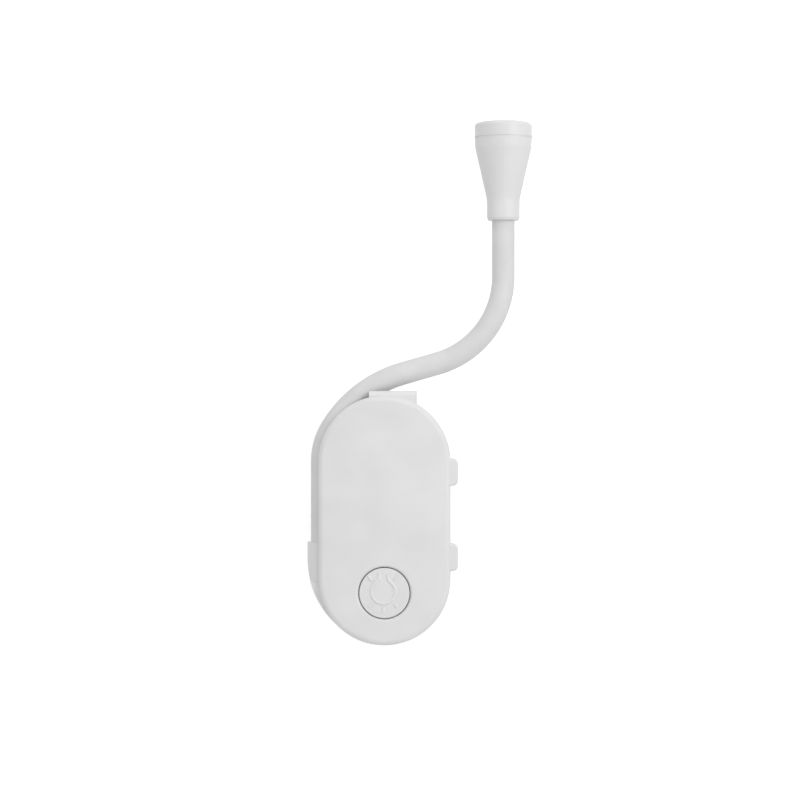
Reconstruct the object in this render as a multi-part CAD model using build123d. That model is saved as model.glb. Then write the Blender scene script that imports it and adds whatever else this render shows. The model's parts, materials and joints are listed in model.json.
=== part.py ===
"""Clip-on book light: a flat oval battery case with a bendable neck, a lamp head and a sprung clip.

Frame: millimetres, +Z up, the case's front faces -Y. The origin is the middle of the case's flat back,
which is the fixed jaw of the clip. A "depth" is a distance from that back towards the front, so a depth
of 5 lies at y = -5.
"""
from build123d import *
from math import atan2, cos, degrees, radians, sin, sqrt, tan
import os

# Coin cells, which set the case's width
cell_radius = 10.0
cell_thickness = 3.2
cell_side_gap = 0.2
cell_back_depth = 1.75
cell_bevel = 0.35
cell_cap_radius = 0.87 * cell_radius
cell_cap_step = 0.3
cell_rib_thickness = 0.8
cell_fit_gap = 0.05
cell_rib_inner_x = 3.6        # the rib leaves the middle free for the contacts

# Neck: a silicone sleeve over a shape-keeping wire and two leads
neck_radius = 2.5
groove_clearance = 0.3
groove_end_drop = 3.0         # the groove runs on this far below the lower round end's centre

# Case: two half shells with an oval outline, parted at the middle of the neck
side_wall = 0.8               # between the cavity and the bottom of the neck's groove
neck_cover = 0.7              # how far the case reaches out past the neck's centreline
end_centre = 12.9             # the height of the upper round end's centre; the lower is as far below
parting_depth = 5.0           # the parting plane runs through the neck's centreline
front_depth = 11.2            # the front face at its highest, on the centre line
crown_radius = 130.0          # the face is a very flat barrel about a vertical axis
front_edge_fillet = 1.3
back_edge_fillet = 0.8
back_wall = 1.4
roof_wall = 1.8               # the front wall at the centre line
root_overlap = 0.2            # how far a boss, post or rib reaches into the wall it grows from

groove_radius = neck_radius + groove_clearance
cavity_radius = cell_radius + cell_side_gap
groove_centre = cavity_radius + side_wall + groove_radius
case_radius = groove_centre + neck_cover
case_half_height = end_centre + case_radius
roof_depth = front_depth - roof_wall

# Neck route, as lines and arcs in the plane of the case
neck_root_height = -(end_centre + 0.5)
neck_wrap_angle = 30.0        # the turn that follows the groove
neck_rise_radius = 27.0
neck_rise_angle = 44.0
neck_bridge_length = 8.1
neck_elbow_radius = 20.0
neck_elbow_angle = 74.0
neck_top_length = 16.6
# Distances along the route at which the neck bends, and which way: "sway" in the plane, "nod" out of it
neck_stations = [(14.4, "sway"), (43.5, "sway"), (58.5, "nod"), (71.5, "sway"),
                 (83.0, "nod"), (90.2, "sway"), (96.6, "nod")]
knuckle_swing = 35.0          # the largest turn that a knuckle leaves room for, in degrees
knuckle_clearance = 0.08
knuckle_rim_margin = 0.06
sleeve_bore_radius = 1.6
wire_radius = 0.7
lead_radius = 0.33
lead_offset = 1.1             # the leads run beside the wire, in front of it and behind it
core_start_gap = 0.2          # from the cup's bottom to the start of the wire
core_end_gap = 0.12           # inside the knuckle's ball, at the wire's far end

# Socket: the bulge at the lower left that holds the neck's root
bulge_reach = case_radius + 2.55
bulge_centre_x = 3.0
socket_length = 8.54
socket_bottom = neck_root_height - 0.2
socket_top = socket_bottom + socket_length
socket_front_depth = parting_depth + groove_radius + 0.6
socket_radius = bulge_reach - groove_centre
socket_inner_x = -(cavity_radius + 1.0)
seam_gap = 0.06
apron_overlap = 0.6

# Retaining tabs that hold the folded neck in its groove
side_tab_reach = case_radius + 1.7
side_tab_root = 2.0
side_tab_edge_fillet = 0.45
side_tab_height = 6.1
side_tab_centres = [end_centre - 2.3, 4.8 - end_centre]
side_tab_corner = 1.3
tab_front_depth = 10.1
tab_back_depth = 8.0
top_tab_left = -3.4
top_tab_right = 7.15
top_tab_top = case_half_height + 1.0
top_tab_root = 6.0
top_tab_front_fillet = 1.2

# Button and switch
button_height = -(end_centre + 2.94)
button_radius = 5.5
button_gap = 0.18
button_rim_fillet = 0.6
button_travel = 0.8
button_proud = 0.05
button_rim_chamfer = 0.15
button_wall = 1.1
button_flange_radius = 6.4
button_flange_thickness = 0.9
button_stem_radius = 1.9
roof_running_gap = 0.1
switch_side = 6.0
switch_front_depth = 6.9
switch_corner = 0.5
switch_edge = 0.2
plunger_radius = 1.7
plunger_bore_depth = 5.2
plunger_clearance = 0.06
plunger_foot_depth = 6.1

# Circuit board, behind the button
board_front_depth = 4.0
board_thickness = 1.0
board_edge_gap = 0.3
board_post_radius = 1.2
board_post_x = 6.6
board_post_drop = 1.36        # how far the low posts are below the button
board_post_top_drop = 4.4
resistor_size = (3.2, 1.6, 0.6)
lead_bend = 1.3
lead_slot_clearance = 0.15
lead_slot_width = 1.6
lead_drop = 4.0               # the lead channel's depth below the neck's root
anchor_gap = 0.05
anchor_radius = 0.75
anchor_length = 1.3
contact_thickness = 0.25
contact_foot = 1.0
contact_back_width = 5.0
contact_back_top = 1.5        # how far past the cells' middle the back leaf reaches
contact_riser_width = 3.0
contact_front_width = 6.0
contact_front_top = 4.8
contact_tail_width = 4.0
contact_tail_bend = 0.2

# Case screws
screw_radius = 0.9
screw_hole_radius = 1.05
screw_length = 7.0
screw_head_radius = 1.75
screw_head_height = 1.1
screw_head_recess = 0.15
screw_pocket_clearance = 0.12
screw_slot_width = 0.45
screw_slot_length = 2.2
screw_slot_depth = 0.45
back_boss_radius = 2.3
back_boss_depth = 3.0
front_boss_radius = 1.7
boss_gap = 0.4                # between the upper boss and the cells
boss_wall_gap = 0.1

# Heights inside the case, from the upper boss down
top_screw_height = end_centre + cavity_radius - boss_wall_gap - back_boss_radius
cell_height = top_screw_height - back_boss_radius - boss_gap - cell_radius
low_screw_height = cell_height - cell_radius - 4.7
low_screw_x = cavity_radius - 2.2
screw_places = [(0.0, top_screw_height), (-low_screw_x, low_screw_height), (low_screw_x, low_screw_height)]
board_top = cell_height - cell_radius - 1.6
board_radius = cavity_radius - board_edge_gap
board_lead_end = board_radius - 0.5
resistor_place = (board_radius - 2.9, button_height + 3.24)
contact_foot_height = board_top - contact_foot

# Clip
clip_half_width = 10.0
clip_wall = 1.7
clip_pivot_height = 2.0
clip_pivot_y = 4.1
clip_tip_height = 3.0 - case_half_height
clip_top_height = case_half_height - 2.8
clip_jaw_gap = 0.76           # from the case's back to the closed lever's jaw
clip_waist_y = 3.4            # the lever's inner face beside the pivot
clip_lift_y = 6.6             # the lever's inner face at its finger end
clip_corner = 7.0
clip_bend_fillet = 1.5
clip_hollow_y = 2.4           # the lever's inner face over the pages, above the jaw
clip_hollow_height = clip_tip_height + 10.8
clip_waist_reach = 8.0        # the straight waist's reach above and below the middle
clip_nose_extra = 0.35
pin_radius = 0.9
pin_clearance = 0.04
pin_head_radius = 1.5
pin_head_thickness = 0.7
lug_inner_x = 6.0
lug_thickness = 1.8
lug_radius = 2.3
ear_gap = 0.15
ear_thickness = 1.5
ear_radius = 2.2
spring_wire = 0.6
spring_mean_radius = 1.6
spring_pitch = 0.75
spring_twist = -90.0          # turns the coil's first end to the side nearest the case
spring_turns = 4.4
spring_cross_angle = 54.0     # where the second leg leaves the coil
spring_knee_height = 4.4
spring_knee_radius = 0.8
spring_leg = 9.5
spring_notch_half_width = 3.0
spring_notch_top = 6.0        # how far above the pin the lever's window clears the second leg
spring_leg_back_y = 0.4       # the first leg's centreline where it bears on the case
spring_leg_front_y = 3.0      # the second leg's centreline where it bears on the lever
pad_thickness = 0.9
pad_sink = 0.55
pad_half_width = 7.0
pad_height = 5.2
pad_corner = 1.2
pad_centre = clip_tip_height + 3.8
finger_ribs = 4
finger_rib_radius = 0.4
finger_rib_pitch = 2.4
finger_rib_start = 4.2        # from the finger end to the first rib
finger_rib_half_width = 5.5

# Lamp head, along its own axis from the collar's open end
head_length = 21.6
head_ring_height = 3.3
head_rim_radius = 6.33
head_rim_fillet = 0.9
head_bell_radius = 6.2
head_collar_radius = 3.62
head_collar_mouth_radius = 3.35
head_collar_length = 4.6
head_rim_run = 2.3            # the nearly straight side between the flare and the seam
head_flare_length = head_length - head_ring_height - head_collar_length - head_rim_run
head_collar_chamfer_height = 0.6
head_collar_round = 0.3
head_flare_round = 5.0
head_throat = 2.2             # the solid throat between the collar's end and the cavity
head_cavity_shoulder = 1.2
head_wall = 1.1
head_neck_depth = 4.2         # how far the neck goes into the collar
head_bore_clearance = 0.04
ring_seam = 0.12
ring_spigot_height = 1.6
ring_spigot_wall = 0.8
lens_radius = 5.1
lens_thickness = 0.8
lens_recess = 0.7
led_radius = 2.5
led_rim_radius = 2.9
led_rim_height = 1.0
led_body_height = 6.2
lens_gap = 0.5
led_base_height = head_length - lens_recess - lens_thickness - lens_gap - led_rim_height - led_body_height
led_pin_length = 5.0
led_pin_radius = 0.3
led_pin_offset = 1.27
holder_thickness = 1.45
holder_gap = 0.05
holder_clearance = 0.1
lens_clearance = 0.03
spigot_clearance = 0.03
reflector_clearance = 0.05
reflector_low = 1.2           # from the lamp's rim to the reflector
reflector_wall = 0.5

FRONT = Plane.XZ              # its normal points at the viewer, along -Y


# Shapes that several pieces use

def slab(sketch, near, far):
    """A sketch drawn on the front plane, made solid from one depth to another."""
    return extrude(FRONT.offset(near) * sketch, amount=far - near)


def oval(radius):
    """The case's outline, drawn in or out to another half width."""
    return SlotCenterToCenter(2 * end_centre, 2 * radius, rotation=90)


def post(x, height, radius, near, far):
    """A round post that stands towards the front."""
    return slab(Pos(x, height) * Circle(radius), near, far)


def rod_along_x(radius, left, right, y, z):
    """A round bar along X."""
    return Plane(origin=(left, y, z), z_dir=(1, 0, 0)) * Cylinder(
        radius, right - left, align=(Align.CENTER, Align.CENTER, Align.MIN))


def bulge_outline():
    """The teardrop outline at the lower left, which runs into the lower round end without a corner."""
    radius = bulge_reach + bulge_centre_x
    drop = sqrt((radius - case_radius) ** 2 - bulge_centre_x ** 2)
    centre_height = drop - end_centre
    disc = Pos(bulge_centre_x, centre_height) * Circle(radius)
    touch = atan2(-drop, -bulge_centre_x)
    low = centre_height + radius * sin(touch)
    left_part = Pos(-radius / 2, (centre_height + low) / 2) * Rectangle(radius, centre_height - low)
    upper = Pos(-bulge_reach / 2, (socket_top + centre_height) / 2) * Rectangle(
        bulge_reach, socket_top - centre_height)
    return (disc & left_part) + upper


def groove_cut():
    """The round-bottomed channel for the folded neck: up the left side, over the top and down the right."""
    lower_left = neck_root_height
    lower_right = -end_centre - groove_end_drop
    left = Pos(-groove_centre, -parting_depth, lower_left) * Cylinder(
        groove_radius, end_centre - lower_left, align=(Align.CENTER, Align.CENTER, Align.MIN))
    right = Pos(groove_centre, -parting_depth, lower_right) * Cylinder(
        groove_radius, end_centre - lower_right, align=(Align.CENTER, Align.CENTER, Align.MIN))
    runout = Pos(groove_centre, -parting_depth, lower_right) * Sphere(groove_radius)
    section = Plane.XY * Pos(groove_centre, 0) * Circle(groove_radius)
    arch = revolve(section, axis=Axis.Y, revolution_arc=180)
    if arch.center().Z < 0:
        arch = Rot(180, 0, 0) * arch
    arch = Pos(0, -parting_depth, end_centre) * arch
    return [left, right, runout, arch]


def screw_pockets():
    """Through holes and head pockets in the back wall."""
    cuts = []
    for x, height in screw_places:
        cuts.append(post(x, height, screw_hole_radius, -1, back_boss_depth + 1))
        cuts.append(post(x, height, screw_head_radius + screw_pocket_clearance, -1,
                         screw_head_recess + screw_head_height))
    return cuts


def lead_channel():
    """The way for the leads from the neck's root into the cavity."""
    width = 2 * (lead_offset + lead_radius + lead_slot_clearance)
    low, high = neck_root_height - lead_drop, neck_root_height + 0.01
    outer, inner = groove_centre + lead_slot_width / 2, cavity_radius - 1.2
    drop = Pos(-groove_centre, -parting_depth, (low + high) / 2) * Box(lead_slot_width, width, high - low)
    across = Pos(-(outer + inner) / 2, -parting_depth, low + lead_slot_width / 2) * Box(
        outer - inner, width, lead_slot_width)
    return drop + across


def front_cover():
    """The front half shell, with its crowned face, its tabs and the button's hole."""
    blank = slab(oval(case_radius), parting_depth, front_depth)
    crown = Pos(0, crown_radius - front_depth, 0) * Cylinder(crown_radius, 4 * case_half_height)
    body = blank & crown
    rim = [e for e in body.edges() if e.bounding_box().max.Y < -(parting_depth + 1)]
    body = fillet(rim, front_edge_fillet)
    body += [side_tab(height) for height in side_tab_centres]
    body += top_tab()
    for cut in groove_cut():
        body -= cut
    socket_room = slab(Pos((-bulge_reach - 1 + socket_inner_x) / 2, (socket_top + socket_bottom) / 2)
                       * Rectangle(bulge_reach + 1 + socket_inner_x, socket_top - socket_bottom + 2 * seam_gap),
                       parting_depth - 1, socket_front_depth + seam_gap)
    body -= socket_room
    body += socket_apron()
    body -= slab(oval(cavity_radius), parting_depth - 1, roof_depth)
    for x, height in screw_places:
        boss = post(x, height, front_boss_radius, back_boss_depth, roof_depth + root_overlap)
        pilot = post(x, height, screw_radius, back_boss_depth - 1, screw_length + 0.6)
        body = body + boss - pilot
    body -= lead_channel()
    hole = post(0, button_height, button_radius + button_gap, parting_depth, front_depth + 1)
    body -= hole
    mouth = [e for e in body.edges() if e.bounding_box().max.Y < -(front_depth - 0.5)
             and abs((e @ 0.3).X) < button_radius + 1 and abs((e @ 0.3).Z - button_height) < button_radius + 1]
    return fillet(mouth, button_rim_fillet)


def side_tab(height):
    """A finger that reaches over the groove on the right."""
    inner = case_radius - side_tab_root
    outline = Pos((inner + side_tab_reach) / 2, height) * Rectangle(side_tab_reach - inner, side_tab_height)
    outline = fillet(outline.vertices().sort_by(Axis.X)[-2:], side_tab_corner)
    tab = slab(outline, tab_back_depth, tab_front_depth)
    outer = [e for e in tab.edges() if e.center().Y < -(tab_front_depth - 0.01)
             and e.center().X > case_radius]
    return fillet(outer, side_tab_edge_fillet)


def top_tab():
    """The wider, flat-topped finger that reaches over the groove at the top."""
    low = case_half_height - top_tab_root
    outline = Pos((top_tab_left + top_tab_right) / 2, (low + top_tab_top) / 2) * Rectangle(
        top_tab_right - top_tab_left, top_tab_top - low)
    tab = slab(outline, tab_back_depth, tab_front_depth)
    crest = [e for e in tab.edges() if e.center().Y < -(tab_front_depth - 0.01)
             and e.center().Z > top_tab_top - 0.01]
    return fillet(crest, top_tab_front_fillet)


def socket_apron():
    """The lower part of the bulge beside the cover, which closes the lead channel."""
    below = Pos(-case_radius, socket_bottom - case_radius) * Rectangle(2 * case_radius, 2 * case_radius)
    outline = (bulge_outline() & below) - oval(case_radius - apron_overlap)
    return slab(outline, parting_depth, socket_front_depth)


def rear_shell():
    """The back half shell, with the clip's lugs, the cell's ribs, the board's posts and the screw bosses."""
    body = slab(oval(case_radius), 0, parting_depth)
    back_rim = [e for e in body.edges() if abs(e.center().Y) < 0.01]
    body = fillet(back_rim, back_edge_fillet)
    body += slab(bulge_outline(), back_edge_fillet, parting_depth)
    for cut in groove_cut():
        body -= cut
    body += slab(bulge_outline() - oval(cavity_radius + side_wall / 2), back_edge_fillet, parting_depth)
    body -= Pos(-groove_centre, -parting_depth, socket_top) * Cylinder(
        neck_radius, socket_top - neck_root_height, align=(Align.CENTER, Align.CENTER, Align.MAX))
    body -= slab(oval(cavity_radius), back_wall, parting_depth + 1)
    for x, height in screw_places:
        body += post(x, height, back_boss_radius, back_wall - root_overlap, back_boss_depth)
    low_post = button_height - board_post_drop
    for x, height in ((0, board_top - board_post_top_drop), (-board_post_x, low_post), (board_post_x, low_post)):
        body += post(x, height, board_post_radius, back_wall - root_overlap, board_front_depth - board_thickness)
    rib_height = cell_height - cell_radius - cell_fit_gap - cell_rib_thickness / 2
    rib_end = cavity_radius + root_overlap
    for side in (-1, 1):
        body += slab(Pos(side * (cell_rib_inner_x + rib_end) / 2, rib_height)
                     * Rectangle(rib_end - cell_rib_inner_x, cell_rib_thickness),
                     back_wall - root_overlap, parting_depth - root_overlap)
    body -= lead_channel()
    for side in (-1, 1):
        body += clip_lug(side)
    for cut in screw_pockets():
        body -= cut
    pad_room = slab(pad_outline(), -1, pad_sink)
    return body - pad_room


def clip_lug(side):
    """An ear on the back, which carries the clip's pin."""
    middle = side * (lug_inner_x + lug_thickness / 2)
    inner_y = -root_overlap
    outline = Plane.YZ.offset(middle) * (
        Pos(clip_pivot_y, clip_pivot_height) * Circle(lug_radius)
        + Pos((clip_pivot_y + inner_y) / 2, clip_pivot_height) * Rectangle(clip_pivot_y - inner_y, 2 * lug_radius))
    lug = extrude(outline, amount=lug_thickness / 2, both=True)
    bore = rod_along_x(pin_radius, middle - lug_thickness, middle + lug_thickness, clip_pivot_y, clip_pivot_height)
    return lug - bore


def neck_clamp():
    """The front half of the socket, trapped between the two shells, which grips the neck's root."""
    length = socket_top - socket_bottom
    barrel = Pos(-groove_centre, -parting_depth, socket_top) * Cylinder(
        socket_radius, length, align=(Align.CENTER, Align.CENTER, Align.MAX))
    inner = slab(Pos((-groove_centre + socket_inner_x - seam_gap) / 2, (socket_top + socket_bottom) / 2)
                 * Rectangle(groove_centre + socket_inner_x - seam_gap, length),
                 parting_depth, parting_depth + socket_radius)
    half = slab(Pos(socket_inner_x - seam_gap - case_radius, (socket_top + socket_bottom) / 2)
                * Rectangle(2 * case_radius, length), parting_depth, socket_front_depth)
    body = ((barrel & half) + inner) & slab(bulge_outline(), parting_depth, socket_front_depth + 1)
    body -= Pos(-groove_centre, -parting_depth, socket_top + 1) * Cylinder(
        neck_radius, length + 3, align=(Align.CENTER, Align.CENTER, Align.MAX))
    return body


def neck_anchor():
    """The crimped ferrule that stops the neck's wire from pulling out or turning."""
    return Pos(-groove_centre, -parting_depth, neck_root_height - anchor_gap) * Cylinder(
        anchor_radius, anchor_length, align=(Align.CENTER, Align.CENTER, Align.MAX))


def case_screws():
    """The pan-head screws that go in from the back, as one piece of three."""
    screws = []
    for x, height in screw_places:
        head_start = screw_head_recess
        head = post(x, height, screw_head_radius, head_start, head_start + screw_head_height)
        shank = post(x, height, screw_radius, head_start + screw_head_height, screw_length)
        cross = slab(Pos(x, height) * (Rectangle(screw_slot_length, screw_slot_width)
                                       + Rectangle(screw_slot_width, screw_slot_length)),
                     -1, head_start + screw_slot_depth)
        screws.append(head + shank - cross)
    return Compound(children=screws)


# Electrics

def coin_cell(back_depth):
    """A lithium coin cell: the can at the back, with the smaller cap towards the front."""
    can = post(0, cell_height, cell_radius, back_depth, back_depth + cell_thickness - cell_cap_step)
    can = chamfer(can.edges().filter_by(GeomType.CIRCLE), cell_bevel)
    cap = post(0, cell_height, cell_cap_radius, back_depth + cell_thickness - cell_cap_step - 0.01,
               back_depth + cell_thickness)
    return can + cap


def contact_back():
    """The spring leaf under the cells, which runs down to the board."""
    top = cell_height + contact_back_top
    leaf = slab(Pos(0, (top + contact_foot_height) / 2) * Rectangle(contact_back_width, top - contact_foot_height),
                back_wall, back_wall + contact_thickness)
    riser = slab(Pos(0, contact_foot_height + contact_thickness / 2)
                 * Rectangle(contact_riser_width, contact_thickness), back_wall, board_front_depth - board_thickness)
    return leaf + riser


def contact_front():
    """The leaf over the cells: a cross strip, with a tail that turns down behind the cells to the board."""
    near = cell_back_depth + 2 * cell_thickness
    top = cell_height + contact_front_top
    tail_height = board_top + contact_foot / 2
    foot_top = tail_height + contact_tail_bend
    strip = slab(Pos(0, (top + tail_height) / 2) * Rectangle(contact_front_width, top - tail_height),
                 near, near + contact_thickness)
    tail = slab(Pos(0, tail_height + contact_thickness / 2) * Rectangle(contact_tail_width, contact_thickness),
                board_front_depth, near + contact_thickness / 2)
    foot = slab(Pos(0, (foot_top + contact_foot_height) / 2)
                * Rectangle(contact_tail_width, foot_top - contact_foot_height),
                board_front_depth, board_front_depth + contact_thickness)
    return strip + tail + foot


def circuit_board():
    """The board behind the button, cut to the cavity's round end and notched for the screw bosses."""
    outline = oval(board_radius)
    half = Pos(0, board_top - case_half_height) * Rectangle(2 * case_radius, 2 * case_half_height)
    outline = outline & half
    for x, height in screw_places[1:]:
        outline -= Pos(x, height) * Circle(back_boss_radius + board_edge_gap)
    near = board_front_depth - board_thickness
    return slab(outline, near, board_front_depth)


def switch_body():
    """The push switch's square case."""
    case = slab(Pos(0, button_height) * RectangleRounded(switch_side, switch_side, switch_corner),
                board_front_depth, switch_front_depth)
    case = chamfer(case.edges().filter_by(lambda e: e.center().Y < -(switch_front_depth - 0.01)), switch_edge)
    return case - post(0, button_height, plunger_radius + plunger_clearance, plunger_bore_depth, front_depth)


def switch_plunger(top):
    """The switch's plunger, which the button's stem presses."""
    return post(0, button_height, plunger_radius, plunger_foot_depth, top)


def button_face_depth(x=0.0):
    """The depth of the button's face on the case's crown."""
    return front_depth - (crown_radius - sqrt(crown_radius ** 2 - x ** 2)) + button_proud


def button_cap():
    """The round push button: a domed cap with a flange that keeps it in and a stem for the switch."""
    flange_far = roof_depth - roof_running_gap
    flange_near = flange_far - button_flange_thickness
    cap = post(0, button_height, button_radius, flange_near, front_depth + 1)
    crown = Pos(0, crown_radius - button_face_depth(), 0) * Cylinder(crown_radius, 4 * case_half_height)
    cap = cap & crown
    rim = [e for e in cap.edges() if e.center().Y < -(roof_depth + 0.5)]
    cap = chamfer(rim, button_rim_chamfer)
    cap += post(0, button_height, button_flange_radius, flange_near, flange_far)
    hollow = post(0, button_height, button_radius - button_wall, flange_near - 1, roof_depth + 0.4)
    stem = post(0, button_height, button_stem_radius, flange_near, roof_depth + 0.5)
    return cap - hollow + stem


def resistor():
    """The chip resistor that limits the lamp's current."""
    x, height = resistor_place
    wide, tall, thick = resistor_size
    chip = slab(Pos(x, height) * Rectangle(wide, tall), board_front_depth, board_front_depth + thick)
    return chip


def board_leads():
    """The two leads from the neck's root, round the corner and onto the board."""
    leads = []
    turn_height = neck_root_height - lead_drop + lead_slot_width / 2
    for side in (-1, 1):
        depth = parting_depth + side * lead_offset
        start = (-groove_centre, neck_root_height - anchor_gap)
        path = FilletPolyline((start[0], -depth, start[1]), (start[0], -depth, turn_height),
                              (-board_lead_end, -depth, turn_height), radius=lead_bend)
        section = Plane(origin=(start[0], -depth, start[1]), z_dir=(0, 0, -1)) * Circle(lead_radius)
        leads.append(sweep(section, path=path))
    return Compound(children=leads)


# Clip

def clip_profile():
    """The lever's side profile in Y and Z: jaw nose, hollow for the pages, waist and raised finger end."""
    jaw_y, jaw_top = clip_jaw_gap, pad_centre + pad_height / 2 + 0.8
    nose_y = jaw_y + clip_wall + clip_nose_extra
    inner = [(jaw_y, clip_tip_height), (jaw_y, jaw_top), (clip_hollow_y, clip_hollow_height),
             (clip_waist_y, -clip_waist_reach), (clip_waist_y, clip_waist_reach), (clip_lift_y, clip_top_height)]
    outer = [(clip_lift_y + clip_wall, clip_top_height), (clip_waist_y + clip_wall, clip_waist_reach + 0.6),
             (clip_waist_y + clip_wall, -clip_waist_reach - 1.0), (clip_hollow_y + clip_wall, clip_hollow_height - 1.0),
             (nose_y, jaw_top - 0.8), (nose_y, clip_tip_height)]
    return Polygon(*inner, *outer, align=None)


def clip_lever():
    """The moving half of the clip: a bent plate with rounded ends, two ears for the pin and finger ribs."""
    plate = extrude(Plane.YZ * clip_profile(), amount=clip_half_width, both=True)
    plan = Pos(0, (clip_tip_height + clip_top_height) / 2) * RectangleRounded(
        2 * clip_half_width, clip_top_height - clip_tip_height, clip_corner)
    plate = plate & slab(plan, -20, 5)
    bends = [e for e in plate.edges().filter_by(Axis.X)
             if clip_hollow_height - 2 < e.center().Z < clip_waist_reach + 2]
    plate = fillet(bends, clip_bend_fillet)
    window = Pos(0, clip_waist_y + clip_wall / 2, clip_pivot_height) * Box(
        2 * (lug_inner_x + lug_thickness + ear_gap), 3 * clip_wall, 2 * lug_radius + 1.6)
    notch = Pos(0, clip_waist_y + clip_wall / 2, clip_pivot_height + spring_notch_top / 2) * Box(
        2 * spring_notch_half_width, 3 * clip_wall, spring_notch_top)
    plate -= window + notch
    for side in (-1, 1):
        plate += clip_ear(side)
    slope = atan2(clip_lift_y - clip_waist_y, clip_top_height - clip_waist_reach)
    for i in range(finger_ribs):
        z = clip_top_height - finger_rib_start - i * finger_rib_pitch
        y = clip_waist_y + (z - clip_waist_reach) * tan(slope) + clip_wall / cos(slope)
        half_width = finger_rib_half_width
        plate += rod_along_x(finger_rib_radius, -half_width, half_width, y, z)
    pad_room = slab(pad_outline(), -(clip_jaw_gap + pad_sink), 0)
    bore = rod_along_x(pin_radius + pin_clearance, -2 * clip_half_width, 2 * clip_half_width,
                       clip_pivot_y, clip_pivot_height)
    return plate - pad_room - bore


def clip_ear(side):
    """An ear of the lever, outside the case's lug."""
    inner_x = lug_inner_x + lug_thickness + ear_gap
    start = inner_x if side > 0 else -inner_x - ear_thickness
    outline = Plane.YZ.offset(start) * (Pos(clip_pivot_y, clip_pivot_height) * Circle(ear_radius)
                                        + Pos(clip_waist_y + clip_wall / 2, clip_pivot_height)
                                        * Rectangle(clip_wall, 2 * lug_radius + 3.0))
    return extrude(outline, amount=ear_thickness)


def clip_pin():
    """The steel pin through lugs, ears and spring, with a head at each end."""
    reach = clip_half_width + 0.1
    pin = rod_along_x(pin_radius, -reach - 0.01, reach + 0.01, clip_pivot_y, clip_pivot_height)
    for side in (-1, 1):
        low = reach if side > 0 else -reach - pin_head_thickness
        pin += rod_along_x(pin_head_radius, low, low + pin_head_thickness, clip_pivot_y, clip_pivot_height)
    return pin


def clip_spring():
    """The torsion spring: a close coil round the pin, one leg on the case and one under the lever."""
    height = spring_turns * spring_pitch
    path = Helix(spring_pitch, height, spring_mean_radius)
    coil = sweep(Plane(origin=path @ 0, z_dir=path % 0) * Circle(spring_wire / 2), path=path, is_frenet=True)
    coil = Pos(-height / 2, clip_pivot_y, clip_pivot_height) * Rot(0, 90, 0) * Rot(0, 0, spring_twist) * coil
    case_leg = spring_leg_wire(-height / 2, -spring_mean_radius, 0.0, clip_pivot_y - spring_leg_back_y)
    cross_angle = radians(spring_cross_angle)
    lever_leg = spring_leg_wire(height / 2, spring_mean_radius * cos(cross_angle),
                                spring_mean_radius * sin(cross_angle), clip_pivot_y - spring_leg_front_y)
    return coil + case_leg + lever_leg


def spring_leg_wire(x, start_y, start_z, end_drop):
    """A leg that leaves the coil and runs up to its resting face, all measured from the pin."""
    start = (x, clip_pivot_y + start_y, clip_pivot_height + start_z)
    knee = (x, clip_pivot_y - end_drop, clip_pivot_height + spring_knee_height)
    end = (x, clip_pivot_y - end_drop, clip_pivot_height + spring_leg)
    path = FilletPolyline(start, knee, end, radius=spring_knee_radius)
    leg = sweep(Plane(origin=start, z_dir=path % 0) * Circle(spring_wire / 2), path=path)
    return leg + Pos(*start) * Sphere(spring_wire / 2 + 0.01)


def pad_outline():
    """The outline of a jaw's rubber pad."""
    return Pos(0, pad_centre) * RectangleRounded(2 * pad_half_width, pad_height, pad_corner)


def grip_pad(face_y, outward):
    """A rubber pad let into a jaw."""
    bottom, top = sorted((face_y - pad_sink * outward, face_y + (pad_thickness - pad_sink) * outward))
    return slab(pad_outline(), -top, -bottom)


# Neck

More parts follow.
